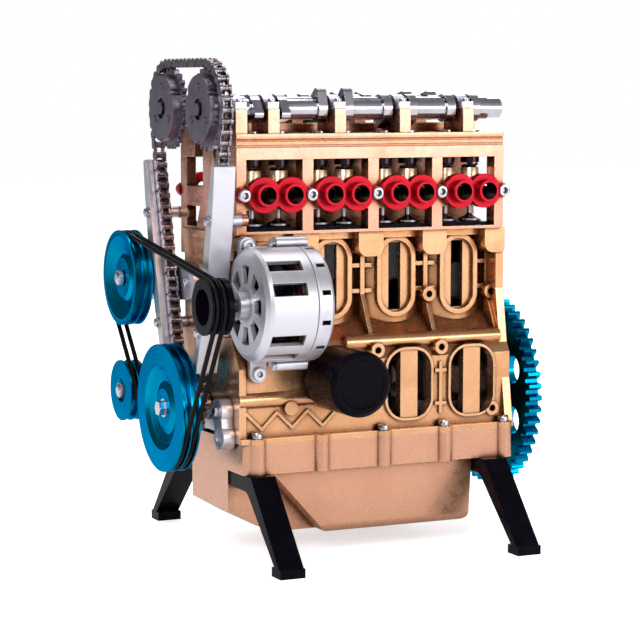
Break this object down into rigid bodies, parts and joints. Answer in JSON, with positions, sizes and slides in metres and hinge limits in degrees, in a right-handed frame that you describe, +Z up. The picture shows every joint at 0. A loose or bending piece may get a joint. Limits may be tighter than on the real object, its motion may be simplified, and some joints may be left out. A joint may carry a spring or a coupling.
{
  "type": "four stroke engine model",
  "caption": "Desk model of an inline twin cam engine on four bent legs, with open valve gear, side windows, timing chain, belt driven accessories and a toothed flywheel.",
  "frame": {"origin": "centre of the model's box at floor level, under the feet", "axes": "+X along the crankshaft towards the flywheel, +Y away from the alternator's side, +Z up"},
  "size_m": [0.133, 0.117, 0.168],
  "materials": {
    "gold_paint": "satin gold",
    "copper_paint": "satin coppery gold",
    "black_paint": "satin black",
    "red_anodised": "satin red",
    "blue_anodised": "satin blue",
    "bare_aluminium": "fine blasted",
    "polished_steel": "polished",
    "bright_screws": "turned",
    "turned_steel": "turned",
    "dark_steel": "oiled",
    "spring_steel": "drawn wire",
    "copper_windings": "laminated",
    "motor_steel": "plated",
    "black_rubber": "matt",
    "battery_wrap": "heat shrink film"
  },
  "bodies": {
    "root": {"cylinder_block": "gold_paint", "oil_pan": "copper_paint", "pan_and_leg_screws": "bright_screws", "support_legs": "black_paint", "main_bearing_caps": "turned_steel", "main_cap_screws": "bright_screws", "seat_plate": "black_paint", "cylinder_head": "gold_paint", "cam_carrier": "gold_paint", "cam_caps": "bare_aluminium", "cam_cap_screws": "bright_screws", "exhaust_ports": "red_anodised", "intake_ports": "red_anodised", "port_screws": "bright_screws", "valve_springs": "spring_steel", "timing_chain": "dark_steel", "chain_guide_near": "bare_aluminium", "chain_guide_far": "bare_aluminium", "front_screws": "bright_screws", "alternator_front_housing": "bare_aluminium", "alternator_rear_housing": "bare_aluminium", "alternator_stator": "copper_windings", "alternator_bolts": "bright_screws", "oil_filter": "black_paint", "oil_pump_cover": "bare_aluminium", "water_pump_housing": "bare_aluminium", "idler_bracket": "bare_aluminium", "drive_belts": "black_rubber", "starter_motor": "motor_steel", "battery_pack": "battery_wrap"},
    "crank": {"crankshaft": "turned_steel", "crank_sprocket": "turned_steel", "crank_pulley": "blue_anodised", "crank_fasteners": "bright_screws", "flywheel": "blue_anodised"},
    "con_rod_1": {"connecting_rod_1": "turned_steel", "piston_1": "turned_steel"},
    "con_rod_2": {"connecting_rod_2": "turned_steel", "piston_2": "turned_steel"},
    "con_rod_3": {"connecting_rod_3": "turned_steel", "piston_3": "turned_steel"},
    "con_rod_4": {"connecting_rod_4": "turned_steel", "piston_4": "turned_steel"},
    "exhaust_cam": {"exhaust_camshaft": "polished_steel", "exhaust_cam_sprocket": "dark_steel"},
    "intake_cam": {"intake_camshaft": "polished_steel", "intake_cam_sprocket": "dark_steel"},
    "alternator_spinner": {"alternator_rotor": "copper_windings", "alternator_pulley": "black_paint"},
    "water_pump_spinner": {"water_pump_pulley": "blue_anodised"},
    "idler_spinner": {"idler_pulley": "blue_anodised"},
    "starter_drive": {"starter_pinion": "turned_steel"},
    "exhaust_valves_1": {"exhaust_valves_1": "polished_steel"},
    "exhaust_valves_2": {"exhaust_valves_2": "polished_steel"},
    "exhaust_valves_3": {"exhaust_valves_3": "polished_steel"},
    "exhaust_valves_4": {"exhaust_valves_4": "polished_steel"},
    "intake_valves_1": {"intake_valves_1": "polished_steel"},
    "intake_valves_2": {"intake_valves_2": "polished_steel"},
    "intake_valves_3": {"intake_valves_3": "polished_steel"},
    "intake_valves_4": {"intake_valves_4": "polished_steel"}
  },
  "joints": [
    {"name": "crank_spin", "type": "hinge", "parent": "root", "child": "crank", "pos_m": [0, 0, 0.0497], "axis": [1, 0, 0], "continuous": true},
    {"name": "crankpin_1", "type": "hinge", "parent": "crank", "child": "con_rod_1", "pos_m": [-0.03375, 0, 0.0572], "axis": [1, 0, 0], "continuous": true},
    {"name": "crankpin_2", "type": "hinge", "parent": "crank", "child": "con_rod_2", "pos_m": [-0.00925, 0, 0.0422], "axis": [1, 0, 0], "continuous": true},
    {"name": "crankpin_3", "type": "hinge", "parent": "crank", "child": "con_rod_3", "pos_m": [0.01525, 0, 0.0422], "axis": [1, 0, 0], "continuous": true},
    {"name": "crankpin_4", "type": "hinge", "parent": "crank", "child": "con_rod_4", "pos_m": [0.03975, 0, 0.0572], "axis": [1, 0, 0], "continuous": true},
    {"name": "exhaust_cam_spin", "type": "hinge", "parent": "root", "child": "exhaust_cam", "pos_m": [0, -0.0169, 0.1511], "axis": [1, 0, 0], "continuous": true},
    {"name": "intake_cam_spin", "type": "hinge", "parent": "root", "child": "intake_cam", "pos_m": [0, 0.0169, 0.1511], "axis": [1, 0, 0], "continuous": true},
    {"name": "alternator_spin", "type": "hinge", "parent": "root", "child": "alternator_spinner", "pos_m": [0, -0.0388, 0.0876], "axis": [1, 0, 0], "continuous": true},
    {"name": "water_pump_spin", "type": "hinge", "parent": "root", "child": "water_pump_spinner", "pos_m": [0, 0.0392, 0.0912], "axis": [1, 0, 0], "continuous": true},
    {"name": "idler_spin", "type": "hinge", "parent": "root", "child": "idler_spinner", "pos_m": [0, 0.039, 0.051], "axis": [1, 0, 0], "continuous": true},
    {"name": "starter_spin", "type": "hinge", "parent": "root", "child": "starter_drive", "pos_m": [0, 0.03888, 0.06385], "axis": [1, 0, 0], "continuous": true},
    {"name": "exhaust_valves_1_lift", "type": "slide", "parent": "root", "child": "exhaust_valves_1", "axis": [0, 0, -1], "range_m": [0, 0.0015], "stiffness_N_per_m": 50, "springref_m": -0.003, "deforming": ["valve_springs"]},
    {"name": "exhaust_valves_2_lift", "type": "slide", "parent": "root", "child": "exhaust_valves_2", "axis": [0, 0, -1], "range_m": [0, 0.0015], "stiffness_N_per_m": 50, "springref_m": -0.003, "deforming": ["valve_springs"]},
    {"name": "exhaust_valves_3_lift", "type": "slide", "parent": "root", "child": "exhaust_valves_3", "axis": [0, 0, -1], "range_m": [0, 0.0015], "stiffness_N_per_m": 50, "springref_m": -0.003, "deforming": ["valve_springs"]},
    {"name": "exhaust_valves_4_lift", "type": "slide", "parent": "root", "child": "exhaust_valves_4", "axis": [0, 0, -1], "range_m": [0, 0.0015], "stiffness_N_per_m": 50, "springref_m": -0.003, "deforming": ["valve_springs"]},
    {"name": "intake_valves_1_lift", "type": "slide", "parent": "root", "child": "intake_valves_1", "axis": [0, 0, -1], "range_m": [0, 0.0015], "stiffness_N_per_m": 50, "springref_m": -0.003, "deforming": ["valve_springs"]},
    {"name": "intake_valves_2_lift", "type": "slide", "parent": "root", "child": "intake_valves_2", "axis": [0, 0, -1], "range_m": [0, 0.0015], "stiffness_N_per_m": 50, "springref_m": -0.003, "deforming": ["valve_springs"]},
    {"name": "intake_valves_3_lift", "type": "slide", "parent": "root", "child": "intake_valves_3", "axis": [0, 0, -1], "range_m": [0, 0.0015], "stiffness_N_per_m": 50, "springref_m": -0.003, "deforming": ["valve_springs"]},
    {"name": "intake_valves_4_lift", "type": "slide", "parent": "root", "child": "intake_valves_4", "axis": [0, 0, -1], "range_m": [0, 0.0015], "stiffness_N_per_m": 50, "springref_m": -0.003, "deforming": ["valve_springs"]}
  ],
  "couplings": [
    {"joint": "crankpin_1", "follows": "crank_spin", "ratio": -1},
    {"joint": "crankpin_2", "follows": "crank_spin", "ratio": -1},
    {"joint": "crankpin_3", "follows": "crank_spin", "ratio": -1},
    {"joint": "crankpin_4", "follows": "crank_spin", "ratio": -1},
    {"joint": "exhaust_cam_spin", "follows": "crank_spin", "ratio": 0.5},
    {"joint": "intake_cam_spin", "follows": "crank_spin", "ratio": 0.5},
    {"joint": "alternator_spin", "follows": "crank_spin", "ratio": 2.4881},
    {"joint": "water_pump_spin", "follows": "crank_spin", "ratio": 1.3145},
    {"joint": "idler_spin", "follows": "crank_spin", "ratio": -2.1111},
    {"joint": "starter_spin", "follows": "crank_spin", "ratio": -4.1667}
  ]
}
